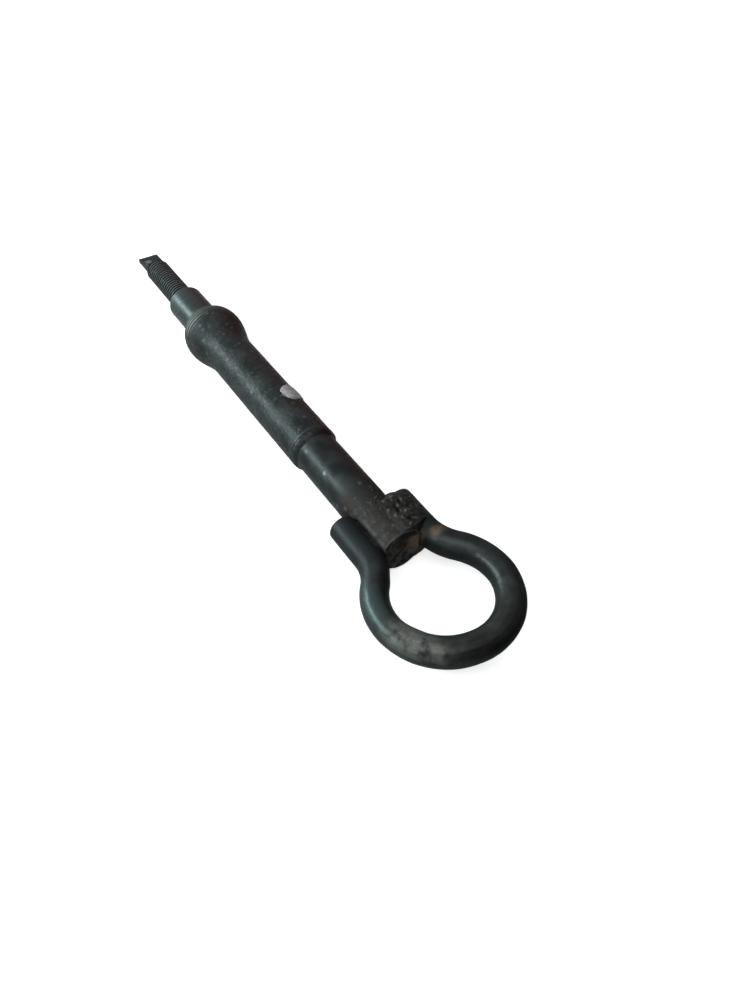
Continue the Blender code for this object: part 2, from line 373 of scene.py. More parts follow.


# Chips that catch the light, and on the tang a painted highlight: place, reach and strength.
SPINDLE_MARKS = (((43.5, 6.7, 6.2), 1.0, 0.8), ((57.5, 6.6, 6.2), 0.9, 0.3),
                 ((228.3, 1.9, 1.9), 2.5, 1.0), ((226.0, 3.6, 1.6), 1.2, 0.6))
EYE_MARKS = (((-19.1, -18.8, 5.6), 0.9, 0.6), ((-21.5, -19.0, 5.8), 0.8, 0.5),
             ((-32.2, -18.0, 5.8), 0.9, 0.6), ((-36.5, 18.0, 6.3), 1.3, 0.6))


def placed_marks(point, marks):
    """Strongest of the marks, each a soft spot with its place, reach and strength."""
    mark = 0.0
    for place, reach, strength in marks:
        distance = (point - Vector(place)).length
        mark = max(mark, strength * smooth(reach, 0.2 * reach, distance))
    return mark


def spindle_marks(point):
    """0 to 1 on the places where the black has been knocked off, and on the tang's painted highlight."""
    mark = placed_marks(point, SPINDLE_MARKS)
    if point.x < ROUGH_END_X:
        mark = max(mark, 0.35 * craters(point, 2.7, 0.3, 6.0))
    return mark


def build_spindle(finish):
    rings = shank_rings() + pilot_rings() + thread_rings() + tang_rings()
    spindle = skin("spindle_turned", rings, sharp=50.0)
    mark_worn(spindle, spindle_marks)
    wear_away(spindle, spindle_wear)
    return place_piece(spindle, finish, "spindle_steel", "threaded_spindle")


# ---------------- sleeve and its bead

SLEEVE_SIDES = 160
NOSE_RINGS_X = 152.0                # ring marks run from here to the nose's end
NOSE_RING_STEP = 2.1


def sleeve_radius(x):
    if x <= BULB_START_X:
        return BARREL_R
    if x <= BULB_MAX_X:
        part = (x - BULB_START_X) / (BULB_MAX_X - BULB_START_X)
        return BARREL_R + (BULB_R - BARREL_R) * (0.5 - 0.5 * math.cos(math.pi * part))
    part = clamp((x - BULB_MAX_X) / (NOSE_END_X - BULB_MAX_X))
    return NOSE_END_R + (BULB_R - NOSE_END_R) * math.sqrt(1.0 - part * part)


def sleeve_rings():
    """Rear edge with a fine groove inside it, barrel, bulb and nose, then back through the bore."""
    bore = CORE_R + 0.02
    groove = 0.3
    profile = [(SLEEVE_REAR_X, bore), (SLEEVE_REAR_X, BARREL_R - groove)]
    for angle in steps(0.4, math.pi / 2, 0.4):
        x = SLEEVE_REAR_X + groove * (1.0 - math.sin(angle))
        profile.append((x, BARREL_R - groove * math.cos(angle)))
    stations = steps(SLEEVE_REAR_X + 0.6, BULB_MAX_X, 0.45)
    for angle in steps(0.03, math.pi / 2, 0.028):
        stations.append(BULB_MAX_X + (NOSE_END_X - BULB_MAX_X) * math.sin(angle))
    for x in stations:
        radius = sleeve_radius(x)
        ridge = smooth(NOSE_RINGS_X, NOSE_RINGS_X + 4.0, x)
        ripple = 0.015 * ridge * (math.sin(math.tau * (x - radius) / NOSE_RING_STEP) - 1.0)
        profile.append((x, radius + ripple))
    profile.append((NOSE_END_X, bore))
    return [round_ring(x, radius, SLEEVE_SIDES) for x, radius in profile]


def sleeve_wear(point):
    """Depth taken off the sleeve: long dents, fine pits and some deeper ones."""
    if point.x > NOSE_END_X - 1.5 or point.x < SLEEVE_REAR_X + 0.3:
        return 0.0
    if math.hypot(point.y, point.z) < CORE_R + 0.3:
        return 0.0
    depth = 0.06 + 0.05 * bumps(point, 11.0, 1.0) + 0.028 * bumps(point, 1.5, 2.0)
    return max(depth, 0.0) + 0.09 * sleeve_chips(point) + 0.07 * craters(point, 1.5, 0.12, 9.0)


def sleeve_chips(point):
    """Chips are thickest round the bulb's nose and along the barrel's upper side."""
    share = 0.35 + 0.3 * smooth(140.0, 158.0, point.x)
    return craters(point + Vector((0.0, 0.4, 0.2)) * bumps(point, 1.2), 3.0, share, 2.0)


def build_sleeve(finish):
    sleeve = skin("sleeve_turned", sleeve_rings(), closed=True, sharp=50.0)
    mark_worn(sleeve, sleeve_chips)
    wear_away(sleeve, sleeve_wear)
    return place_piece(sleeve, finish, "sleeve_steel", "bulb_sleeve")


def build_sleeve_bead(finish):
    """Irregular bead round the shank against the sleeve's rear edge, with ripples round it."""
    sides = 144
    root = SHANK_R - 0.25
    hidden = SHANK_R - 0.4
    front_x = SLEEVE_REAR_X - 0.12
    rings = [round_ring(front_x, hidden, sides), round_ring(BEAD_REAR_X - 1.2, hidden, sides)]
    for part in steps(0.0, 1.0, 1.0 / 22.0):
        ring = []
        for step in range(sides):
            angle = math.tau * step / sides
            place = Vector(round_axis(0.0, BEAD_R, angle))
            rear_x = BEAD_REAR_X + 0.25 + 0.45 * bumps(place, 4.0, 2.0)
            x = rear_x + (front_x - rear_x) * part
            rise = math.sin(math.pi * (0.04 + 0.62 * part)) ** 0.8
            ripple = 0.07 * math.sin(26.0 * angle + 5.0 * part + 2.0 * bumps(place, 6.0))
            lump = 0.16 * bumps(Vector((x, place.y, place.z)), 2.3, 5.0)
            radius = root + (BEAD_R - 0.1 - root) * rise
            radius += (ripple + lump) * math.sin(math.pi * clamp(part, 0.05, 0.95))
            ring.append(round_axis(x, radius, angle))
        rings.append(ring)
    bead = skin("sleeve_bead", rings, closed=True, sharp=60.0)
    return place_piece(bead, finish, "weld_metal", "sleeve_weld")


# ---------------- eye

BAR_SIDES = 56


def eye_path():
    """Centreline points and directions in plan, from the left leg's end to the right one's."""
    run = BEND_START_X - LOOP_X
    bend_r = (run * run + LEG_Y * LEG_Y - LOOP_R * LOOP_R) / (2.0 * (LOOP_R - LEG_Y))
    bend_y = LEG_Y + bend_r
    tangent = math.atan2(bend_y, run)
    half = [((x, LEG_Y), (-1.0, 0.0)) for x in steps(LEFT_LEG_END_X - LEG_EDGE, BEND_START_X, 0.8)]
    for angle in steps(-math.pi / 2, tangent - math.pi, 0.7 / bend_r)[1:]:
        point = (BEND_START_X + bend_r * math.cos(angle), bend_y + bend_r * math.sin(angle))
        half.append((point, (math.sin(angle), -math.cos(angle))))
    for angle in steps(tangent, math.pi, 0.7 / LOOP_R)[1:]:
        point = (LOOP_X + LOOP_R * math.cos(angle), LOOP_R * math.sin(angle))
        half.append((point, (-math.sin(angle), math.cos(angle))))
    other = [((x, -y), (-dx, dy)) for (x, y), (dx, dy) in reversed(half[:-1])]
    return half + other


def eye_height(x):
    part = (BEND_START_X - x) / (BEND_START_X - LOOP_X + LOOP_R)
    return LEG_Z + EYE_RISE * clamp(part)


def bar_ring(x, y, direction, radius):
    ring = []
    for step in range(BAR_SIDES):
        angle = math.tau * step / BAR_SIDES
        out = radius * math.cos(angle)
        z = eye_height(x) + radius * math.sin(angle)
        ring.append((x + direction[1] * out, y - direction[0] * out, z))
    return ring


def leg_end_rings(end_x, y, direction):
    """Cropped end of a leg: slightly domed face and a rounded edge."""
    rings = [bar_ring(end_x, y, direction, radius) for radius in steps(0.5, BAR_R - LEG_EDGE, 0.5)]
    for angle in steps(0.2, math.pi / 2, 0.2)[:-1]:
        x = end_x - LEG_EDGE * (1.0 - math.cos(angle))
        rings.append(bar_ring(x, y, direction, BAR_R - LEG_EDGE * (1.0 - math.sin(angle))))
    return rings


def eye_wear(point):
    """Depth taken off the bar: bending flats, scale pits and the rough cropped ends."""
    if point.x > LEFT_LEG_END_X - 0.3:
        return 0.04 + 0.05 * bumps(point, 2.0, 7.0)
    depth = 0.06 + 0.06 * bumps(point, 7.0, 3.0) + 0.02 * bumps(point, 1.7, 8.0)
    reach = math.hypot(point.x - LOOP_X, point.y)
    inside = smooth(LOOP_R - 1.5, LOOP_R - 4.5, reach)
    left = smooth(2.0, 6.0, point.y) * smooth(-34.0, -26.0, point.x) * smooth(0.0, -4.0, point.x)
    far = smooth(-27.0, -38.0, point.x) * smooth(14.0, 4.0, point.y)
    outside = smooth(LOOP_R + 1.5, LOOP_R + 4.5, reach)
    depth = max(depth, 0.0) + inside * (0.5 * left - 0.28 * far) + 0.2 * outside * far
    return depth + 0.09 * craters(point, 2.8, 0.2, 4.0)


def eye_marks(point):
    """0 to 1 on the chips of the eye."""
    return max(placed_marks(point, EYE_MARKS), 0.25 * craters(point, 4.2, 0.4, 3.0))


def build_eye(finish):
    rings = leg_end_rings(LEFT_LEG_END_X, LEG_Y, (-1.0, 0.0))
    rings += [bar_ring(x, y, direction, BAR_R) for (x, y), direction in eye_path()]
    rings += reversed(leg_end_rings(RIGHT_LEG_END_X, -LEG_Y, (1.0, 0.0)))
    eye = skin("eye_forged_bar", rings, sharp=50.0)
    mark_worn(eye, eye_marks)
    wear_away(eye, eye_wear)
    return place_piece(eye, finish, "eye_steel", "eye_bar")


# ---------------- eye welds

# Each weld lies in the groove between the shank and one leg. side +1 is +Y and face +1 the top.
# rear_x and front_x bound it along X; rear_round and front_round are the lengths of its rounded
# ends, and rear_skew and wrap move those ends forward near the leg. toe_y is where it runs out on
# the shank, at its rear and front end; leg_y is where it runs out on the leg.
EYE_WELDS = (
    dict(name="weld_bead_left_top", node="weld_left_top", side=1, face=1,
         rear_x=2.2, front_x=19.4, rear_round=2.5, front_round=3.0, toe_y=(7.3, 7.3), toe_z=3.4,
         leg_y=9.9, crown=0.2, lumps=0.15, rear_skew=0.0, wrap=0.0),
    dict(name="weld_bead_right_top", node="weld_right_top", side=-1, face=1,
         rear_x=0.3, front_x=21.5, rear_round=0.9, front_round=8.0, toe_y=(-1.0, -1.5),
         toe_z=SHANK_R, leg_y=15.6, crown=1.9, lumps=0.55, rear_skew=4.6, wrap=1.5),
    dict(name="weld_bead_left_bottom", node="weld_left_bottom", side=1, face=-1,
         rear_x=1.6, front_x=19.4, rear_round=2.0, front_round=3.0, toe_y=(5.6, 5.2),
         toe_z=SHANK_R, leg_y=12.2, crown=0.7, lumps=0.35, rear_skew=0.5, wrap=1.5),
    dict(name="weld_bead_right_bottom", node="weld_right_bottom", side=-1, face=-1,
         rear_x=0.32, front_x=20.0, rear_round=0.4, front_round=3.0, toe_y=(4.2, 5.0),
         toe_z=SHANK_R, leg_y=13.2, crown=1.1, lumps=0.3, rear_skew=0.0, wrap=2.0),
)
WELD_DEPTH = 4.6                    # how far the hidden underside reaches into the groove


def shank_height(y):
    return math.sqrt(SHANK_R * SHANK_R - y * y)


def leg_height(y, face):
    return LEG_Z * face + math.sqrt(BAR_R * BAR_R - (y - LEG_Y) ** 2)


# Beads and pits of the big weld, seen from above.
WELD_BEADS = ((13.0, -6.6), (12.2, -1.7), (6.8, -4.7), (4.8, -9.1), (3.0, -5.6), (18.2, -7.1),
              (9.5, -7.8), (8.6, -2.6), (15.6, -9.6), (17.5, -3.0))
WELD_PITS = ((16.4, -5.2), (14.6, -8.6), (10.6, -5.3), (5.6, -6.9), (11.5, -10.4))


def weld_spots(point, places, reach):
    """0 to 1 near any of the listed places, seen from above, with ragged outlines."""
    point = point + 0.45 * Vector((bumps(point, 1.5, 4.0), bumps(point, 1.5, 9.0), 0.0))
    return max(smooth(reach, 0.3 * reach, math.hypot(point.x - x, point.y - y)) for x, y in places)


def weld_beads(point):
    """0 to 1 on the small round beads that sit on a weld's skin."""
    strewn = craters(point + Vector((0.5, 0.4, 0.0)) * bumps(point, 1.6), 3.1, 0.6, 5.0)
    return max(0.7 * strewn, weld_spots(point, WELD_BEADS, 1.15))


def weld_relief(spot):
    """Soft lumps of two sizes with beads and pits, in heights of one lump."""
    lumps = 0.8 * bumps(spot, 3.6, 2.0) + 0.45 * bumps(spot, 1.7, 3.0)
    return lumps + 0.8 * weld_beads(spot) - 1.3 * weld_spots(spot, WELD_PITS, 1.2)


def rounded(distance, reach):
    """Quarter-circle rise from 0 to 1 over reach."""
    return math.sqrt(1.0 - (1.0 - clamp(distance / reach)) ** 2)


def weld_ring(weld, along, across_steps):
    """Cross-section of a weld: its lumpy top, then back along the hidden underside."""
    toe_y = weld["toe_y"][0] + (weld["toe_y"][1] - weld["toe_y"][0]) * along
    toe_z = min(weld["toe_z"], shank_height(toe_y) - 0.35)
    leg_z = leg_height(weld["leg_y"], weld["face"]) - 0.35
    top = []
    under = []
    for column in range(across_steps + 1):
        across = column / across_steps
        arch = math.sin(math.pi * across) ** 0.6
        start_x = weld["rear_x"] + weld["rear_skew"] * across ** 2
        stop_x = weld["front_x"] + weld["wrap"] * smooth(0.3, 0.6, across) * smooth(1.0, 0.7, across)
        x = start_x + (stop_x - start_x) * along
        y = weld["side"] * (toe_y + (weld["leg_y"] - toe_y) * across)
        level = toe_z + (leg_z - toe_z) * across
        spot = Vector((x, y, 0.0))
        height = weld["crown"] * arch * (0.9 + 0.2 * bumps(spot, 5.0, 1.0))
        height += weld["lumps"] * weld_relief(spot) * (0.2 + 0.8 * arch)
        fade = rounded(stop_x - x, weld["front_round"])
        height = level + height * fade ** 0.5
        sunk = 1.0 - rounded(x - start_x, weld["rear_round"]) * fade ** 0.6
        top.append((x, y, weld["face"] * (height - WELD_DEPTH * sunk)))
        under.append((x, y, weld["face"] * (level - WELD_DEPTH - 0.3)))
    return top + list(reversed(under))


def build_eye_weld(finish, weld):
    """Skin of the weld over a hidden underside; both ends round off into the groove."""
    along_steps = 104
    across_steps = max(14, round((weld["leg_y"] - weld["toe_y"][0]) / 0.22))
    rings = []
    for row in range(along_steps + 1):
        along = 0.5 - 0.5 * math.cos(math.pi * row / along_steps)
        rings.append(weld_ring(weld, along, across_steps))
    bead = skin(weld["name"], rings, sharp=60.0)
    mark_worn(bead, lambda point: weld_beads(Vector((point.x, point.y, 0.0))))
    return place_piece(bead, finish, "weld_metal", weld["node"])


def build_spatter(finish):
    """Droplets of weld metal frozen onto the steel round the welds."""
    rng = random.Random(41)
    shape = bmesh.new()
    for _ in range(56):
        on_shank = rng.random() < 0.6
        size = rng.uniform(0.3, 0.72) * (0.7 if rng.random() < 0.5 else 1.0)
        if on_shank:
            x = 27.0 - 14.0 * rng.random() ** 0.6
            angle = math.radians(rng.uniform(72.0, 140.0))
            centre = Vector(round_axis(x, SHANK_R - 0.3 * size, angle))
        else:
            x = rng.uniform(3.0, 18.0)
            y = -rng.uniform(12.0, 17.0)
            reach = math.sqrt(BAR_R * BAR_R - (abs(y) - LEG_Y) ** 2)
            centre = Vector((x, y, LEG_Z + reach - 0.3 * size))
        squash = Matrix.Diagonal((1.0, rng.uniform(0.75, 1.1), rng.uniform(0.7, 1.0), 1.0))
        place = Matrix.Translation(centre) @ squash @ Matrix.Scale(size, 4)
        bmesh.ops.create_icosphere(shape, subdivisions=2, radius=1.0, matrix=place)
    for vertex in shape.verts:
        vertex.co *= 1.0 + 0.004 * bumps(vertex.co, 0.5)
        vertex.co *= MM
    mesh = bpy.data.meshes.new("weld_spatter")
    shape.to_mesh(mesh)
    shape.free()
    mesh.shade_smooth()
    mesh.attributes.new(WORN, "FLOAT", "POINT")
    spatter = add_object("weld_spatter", mesh)
    return place_piece(spatter, finish, "weld_metal")


def build_paint_dab(finish):
    """Thin lens of old paint on the barrel's right side."""
    middle_x = 90.4
    middle_angle = math.radians(130.0)
    half_x = 5.8
    half_angle = math.radians(39.0)
    thick = 0.75
    rings = []
    rows = 20
    columns = 24
    for row in range(1, rows):
        u = 2.0 * row / rows - 1.0
        reach = math.sqrt(1.0 - u * u)
        top = []
        under = []
        for column in range(columns + 1):
            v = 2.0 * column / columns - 1.0
            spot = Vector((5.0 * u, 5.0 * v, 0.0))
            x = middle_x + half_x * (u + 0.2 * v + 0.12 * bumps(spot, 1.6))
            angle = middle_angle + half_angle * v * reach * (1.0 + 0.25 * bumps(spot, 2.2, 4.0))
            rise = thick * reach * (1.0 - v ** 4) * (0.8 + 0.3 * bumps(spot, 1.2, 8.0))
            for line, radius in ((top, BARREL_R - 0.08 + rise), (under, BARREL_R - 0.35)):
                line.append(round_axis(x, radius, angle))
        rings.append(top + list(reversed(under)))
    dab = skin("paint_dab", rings, sharp=60.0)
    return place_piece(dab, finish, "sleeve_steel")


# ---------------- finishes

def set_range(node, low, high, start, stop):
    """Limits of a Map Range node."""
    for name, value in (("From Min", low), ("From Max", high), ("To Min", start), ("To Max", stop)):
        node.inputs[name].default_value = value


class Finish:
    """One procedural material; its textures lie in the CAD frame and are sized in millimetres."""

    def __init__(self, name):
        self.material = bpy.data.materials.new(name)
        self.material.use_nodes = True
        self.tree = self.material.node_tree
        self.shader = self.tree.nodes["Principled BSDF"]
        scaled = self.node("ShaderNodeVectorMath", operation="SCALE")
        self.feed(self.node("ShaderNodeTexCoord").outputs["Object"], scaled.inputs[0])
        scaled.inputs["Scale"].default_value = 1.0 / MM
        self.place = scaled.outputs[0]
        split = self.node("ShaderNodeSeparateXYZ")
        self.feed(self.place, split.inputs[0])
        self.x, self.y, self.z = split.outputs
        self.normal = None

    def node(self, kind, **settings):
        node = self.tree.nodes.new(kind)
        for key, value in settings.items():
            setattr(node, key, value)
        return node

    def feed(self, value, socket):
        if isinstance(value, bpy.types.NodeSocket):
            self.tree.links.new(value, socket)
        else:
            socket.default_value = value

    def math(self, operation, first, second=0.0):
        node = self.node("ShaderNodeMath", operation=operation)
        self.feed(first, node.inputs[0])
        self.feed(second, node.inputs[1])
        return node.outputs[0]

    def times(self, *values):
        total = values[0]
        for value in values[1:]:
            total = self.math("MULTIPLY", total, value)
        return total

    def noise(self, size, detail=3.0, roughness=0.55, stretch=(1.0, 1.0, 1.0)):
        """Cloudy noise, lumps about size across, stretched along the axes."""
        mapping = self.node("ShaderNodeMapping")
        self.feed(self.place, mapping.inputs["Vector"])
        mapping.inputs["Scale"].default_value = [1.0 / (size * part) for part in stretch]
        node = self.node("ShaderNodeTexNoise")
        self.feed(mapping.outputs[0], node.inputs["Vector"])
        node.inputs["Scale"].default_value = 1.0
        node.inputs["Detail"].default_value = detail
        node.inputs["Roughness"].default_value = roughness
        return node.outputs["Fac"]

    def spots(self, size, share, edge=0.3):
        """Round spots in a share of the cells; 1 in the middle, 0 outside."""
        node = self.node("ShaderNodeTexVoronoi")
        self.feed(self.place, node.inputs["Vector"])
        node.inputs["Scale"].default_value = 1.0 / size
        pick = self.node("ShaderNodeSeparateColor")
        self.feed(node.outputs["Color"], pick.inputs[0])
        chosen = self.math("LESS_THAN", pick.outputs[0], share)
        reach = self.math("MULTIPLY", pick.outputs[1], edge)
        reach = self.math("ADD", reach, 0.12)
        near = self.math("DIVIDE", node.outputs["Distance"], reach)
        return self.times(self.ramp(near, 1.0, 0.55), chosen)

    def ramp(self, value, low, high, start=0.0, stop=1.0):
        """Value mapped smoothly so that low gives start and high gives stop."""
        node = self.node("ShaderNodeMapRange", interpolation_type="SMOOTHSTEP")
        self.feed(value, node.inputs["Value"])
        if low > high:
            low, high, start, stop = high, low, stop, start
        set_range(node, low, high, start, stop)
        return node.outputs["Result"]

    def between(self, value, low, high, soft):
        """1 between low and high, 0 outside, with edges soft either way."""
        above_low = self.ramp(value, low - soft, low + soft)
        return self.times(above_low, self.ramp(value, high + soft, high - soft))

    def blend(self, amount, first, second):
        """Colour mix; colours are RGB triples or sockets."""
        node = self.node("ShaderNodeMix", data_type="RGBA")
        self.feed(amount, node.inputs["Factor"])
        for value, socket in ((first, node.inputs[6]), (second, node.inputs[7])):
            self.feed((*value, 1.0) if isinstance(value, tuple) else value, socket)
        return node.outputs[2]

    def tint(self, colour, tone, *amounts):
        """Colour drawn towards a tone by the product of the amounts."""
        return self.blend(self.times(*amounts), colour, tone)

    def lerp(self, amount, first, second):
        node = self.node("ShaderNodeMix", data_type="FLOAT")
        self.feed(amount, node.inputs["Factor"])
        self.feed(first, node.inputs[2])
        self.feed(second, node.inputs[3])
        return node.outputs[0]

    def worn(self):
        """The rubbed spots stored on the mesh by mark_worn."""
        return self.node("ShaderNodeAttribute", attribute_name=WORN).outputs["Fac"]

    def length(self, first, second):
        """Distance from the origin in the plane of two coordinates."""
        squares = self.math("ADD", self.times(first, first), self.times(second, second))
        return self.math("SQRT", squares)

    def upper_side(self):
        """1 on the upper side, weaker below, where the painted brown reflection and shade fade."""
        return self.ramp(self.z, -3.0, 3.0, 0.35, 1.0)

    def loop_grain(self):
        """Noise drawn out along the loop, like scuffs left by a hook or a rope."""
        east = self.math("SUBTRACT", self.x, LOOP_X)
        reach = self.length(east, self.y)
        turn = self.math("ARCTAN2", self.y, east)
        polar = self.node("ShaderNodeCombineXYZ")
        scaled = (self.times(turn, 2.5), self.times(reach, 0.9), self.times(self.z, 0.9))
        for value, socket in zip(scaled, polar.inputs):
            self.feed(value, socket)
        node = self.node("ShaderNodeTexNoise")
        self.feed(polar.outputs[0], node.inputs["Vector"])
        node.inputs["Scale"].default_value = 1.0
        return node.outputs["Fac"]

    def bump(self, height, depth):
        """Add a relief depth millimetres high."""
        node = self.node("ShaderNodeBump")
        node.inputs["Distance"].default_value = depth * MM
        self.feed(height, node.inputs["Height"])
        if self.normal is not None:
            self.feed(self.normal, node.inputs["Normal"])
        self.normal = node.outputs["Normal"]

    def done(self, colour, roughness, metallic):
        """Wire the results to the shader and return the material."""
        self.feed(colour, self.shader.inputs["Base Color"])
        self.feed(roughness, self.shader.inputs["Roughness"])
        self.feed(metallic, self.shader.inputs["Metallic"])
        if self.normal is not None:
            self.feed(self.normal, self.shader.inputs["Normal"])
        return self.material


# Colours of the steel, its rust and wear, and the weld metal, with painted highlights, shades and
# reflections, as linear RGB.
BLACK = (0.012, 0.0135, 0.014)
SLATE = (0.032, 0.037, 0.037)
# Worn bare edge, with a painted highlight.
BARE_EDGE_AND_HIGHLIGHT = (0.13, 0.15, 0.15)
CHALK = (0.12, 0.118, 0.11)
# Painted brown reflection for the sides away from the light.
PAINTED_BROWN_REFLECTION = (0.058, 0.022, 0.020)
TAN = (0.14, 0.095, 0.065)
ORANGE = (0.10, 0.045, 0.018)
PILOT_GREY = (0.085, 0.104, 0.104)
# Worn front edge of the pilot, with a painted highlight.
PILOT_RIM_WEAR_AND_HIGHLIGHT = (0.22, 0.23, 0.215)
# Painted shade for the pilot's right side.
PILOT_PAINTED_SHADE = (0.068, 0.024, 0.024)
# Painted shade for the thread roots.
THREAD_ROOT_PAINTED_SHADE = (0.007, 0.008, 0.009)
THREAD_CREST = (0.23, 0.235, 0.24)
TANG_GREY = (0.034, 0.036, 0.036)
SCALE_DARK = (0.026, 0.024, 0.022)
SCALE_PALE = (0.043, 0.037, 0.033)
SHANK_RUST = (0.07, 0.042, 0.032)
HEAT_TINT = (0.038, 0.022, 0.020)
GRIME_DARK = (0.024, 0.023, 0.022)
GRIME_PALE = (0.11, 0.102, 0.088)
FACE_RUST = (0.30, 0.235, 0.175)
# Painted shadow for the rear face.
FACE_PAINTED_SHADOW = (0.02, 0.02, 0.019)
# Bare metal of chips, and the tang's painted highlight.
KNOCKED_BARE_AND_HIGHLIGHT = (0.25, 0.27, 0.265)
SLEEVE_DARK = (0.015, 0.017, 0.0175)
SLEEVE_PALE = (0.041, 0.047, 0.047)
SLEEVE_WORN = (0.062, 0.067, 0.064)
BULB_WARM = (0.062, 0.052, 0.046)
NOSE_OLIVE = (0.066, 0.064, 0.05)
# Painted highlight for the nose's ring crests.
NOSE_RING_HIGHLIGHT = (0.30, 0.31, 0.29)
LOOP_RUBBED = (0.19, 0.192, 0.175)
# Painted highlight for the loop's shoulder.
SHOULDER_PAINTED_HIGHLIGHT = (0.036, 0.054, 0.054)
LOOP_INNER = (0.044, 0.043, 0.035)
# Painted shade for the loop's far outer side.
OUTER_PAINTED_SHADE = (0.004, 0.004, 0.003)
RIM_RUST = (0.085, 0.038, 0.02)
LEG_END_DARK = (0.008, 0.013, 0.014)
LEG_BROWN = (0.075, 0.058, 0.05)
LEG_BLACK = (0.005, 0.008, 0.009)
SLAG_DARK = (0.016, 0.016, 0.016)
SLAG_PALE = (0.045, 0.042, 0.040)
TOE_GREY = (0.062, 0.058, 0.053)
WELD_RUST = (0.07, 0.045, 0.034)
# Painted shade for the weld's rear end.
WELD_END_PAINTED_SHADE = (0.012, 0.015, 0.015)
BEAD_BRIGHT = (0.13, 0.122, 0.112)
PAINT = (0.43, 0.40, 0.42)
PAINT_DIRT = (0.22, 0.185, 0.20)


def spindle_finish():
    """Black steel: machined pilot, worn thread crests, rough and rusty rear end, painted reflection, shade
    and highlights.
    """
    f = Finish("spindle_finish")
    cloud = f.noise(7.0, 4.0)
    patch = f.noise(2.4, 4.0, 0.6)
    fine = f.noise(0.6, 3.0, 0.6)
    rings = f.noise(0.9, 2.0, 0.6, (1.0, 30.0, 30.0))
    colour = f.blend(f.ramp(cloud, 0.35, 0.7), BLACK, SLATE)
    pilot = f.between(f.x, PILOT_START_X, PILOT_END_X + 0.1, 0.4)
    colour = f.tint(colour, PILOT_GREY, pilot, f.ramp(rings, 0.3, 0.7, 0.3, 0.6))
    # Front edge of the pilot: worn bright, with a painted highlight on it.
    rim = f.between(f.x, PILOT_END_X - 1.1, PILOT_END_X + 0.05, 0.25)
    colour = f.tint(colour, PILOT_RIM_WEAR_AND_HIGHLIGHT, rim, f.ramp(fine, 0.3, 0.6, 0.1, 0.5))
    upper = f.upper_side()
    # Painted brown reflection on the right side, fading below.
    side = f.times(f.ramp(f.y, 0.5, -5.5), f.ramp(patch, 0.3, 0.6, 0.45, 1.0), upper, 0.9)
    colour = f.tint(colour, PAINTED_BROWN_REFLECTION, side)
    # Painted shade: dark red-brown on the pilot's right side.
    painted_pilot_shade = f.times(f.ramp(f.y, 1.5, -5.5), pilot, upper, f.ramp(patch, 0.3, 0.6, 0.6, 1.0))
    colour = f.tint(colour, PILOT_PAINTED_SHADE, painted_pilot_shade)
    radius = f.length(f.y, f.z)
    threaded = f.between(f.x, PILOT_END_X + 1.6, THREAD_END_X + 0.4, 0.5)
    # Crests worn bright, made brighter towards the right as a painted sheen; the roots get painted shade.
    crest = f.times(threaded, f.ramp(radius, 5.45, 5.85), f.ramp(f.y, 5.5, -2.0, 0.7, 1.4))
    root = f.times(threaded, f.ramp(radius, 5.5, 5.1))
    colour = f.tint(colour, THREAD_ROOT_PAINTED_SHADE, root)
    colour = f.tint(colour, THREAD_CREST, crest, f.ramp(fine, 0.3, 0.6, 0.35, 0.75))
    tang = f.times(f.ramp(f.x, THREAD_END_X, THREAD_END_X + 1.5), f.ramp(patch, 0.35, 0.6, 0.3, 0.8))
    colour = f.tint(colour, TANG_GREY, tang)
    rear_top = f.times(f.ramp(f.x, 37.0, 24.0), f.ramp(f.z, 0.5, 4.0))
    chalky = f.times(rear_top, f.ramp(patch, 0.32, 0.68))
    colour = f.tint(colour, SCALE_DARK, rear_top, 0.8)
    colour = f.tint(colour, SCALE_PALE, chalky, f.ramp(f.x, 30.0, 12.0), 0.8)
    flecks = f.times(rear_top, f.ramp(f.x, 30.0, 18.0), f.ramp(f.noise(2.0, 3.0, 0.6), 0.56, 0.7), 0.4)
    colour = f.tint(colour, CHALK, flecks)
    rust = f.times(rear_top, f.ramp(f.noise(2.2, 4.0, 0.6), 0.52, 0.7), 0.5)
    colour = f.tint(colour, SHANK_RUST, rust)
    # Painted highlight: a light strip on the left flat, which faces the light.
    painted_flat_highlight = f.times(f.ramp(f.x, 27.0, 20.0), f.between(f.y, 6.6, 7.7, 0.3), f.ramp(patch, 0.3, 0.6))
    colour = f.tint(colour, CHALK, painted_flat_highlight, 0.5)
    pink = f.times(f.between(f.x, 22.0, 29.0, 1.5), f.ramp(f.y, 5.0, 7.5), f.ramp(cloud, 0.25, 0.45))
    colour = f.tint(colour, HEAT_TINT, pink, 0.8)
    face = f.ramp(f.x, 0.75, 0.35)
    grime = f.blend(f.ramp(patch, 0.4, 0.6), GRIME_DARK, GRIME_PALE)
    rusty = f.times(f.ramp(f.y, -0.5, -5.0), f.ramp(f.z, -5.0, -1.0), f.ramp(patch, 0.25, 0.5))
    grime = f.tint(grime, FACE_RUST, rusty, 0.9)
    # Painted shadow on the upper right of the rear face.
    grime = f.tint(grime, FACE_PAINTED_SHADOW, f.ramp(f.z, 4.0, 7.0), f.ramp(f.y, 3.0, 0.0))
    colour = f.blend(face, colour, grime)
    # Rear edge: chalky wear, and a painted highlight on its upper part.
    rim_wear_and_highlight = f.between(f.x, 0.25, 1.1, 0.2)
    rear_rim_wear_and_highlight = f.times(rim_wear_and_highlight, f.ramp(f.z, 3.0, 6.0), f.ramp(fine, 0.3, 0.6, 0.3, 1.0))
    colour = f.tint(colour, CHALK, rear_rim_wear_and_highlight, 0.35)
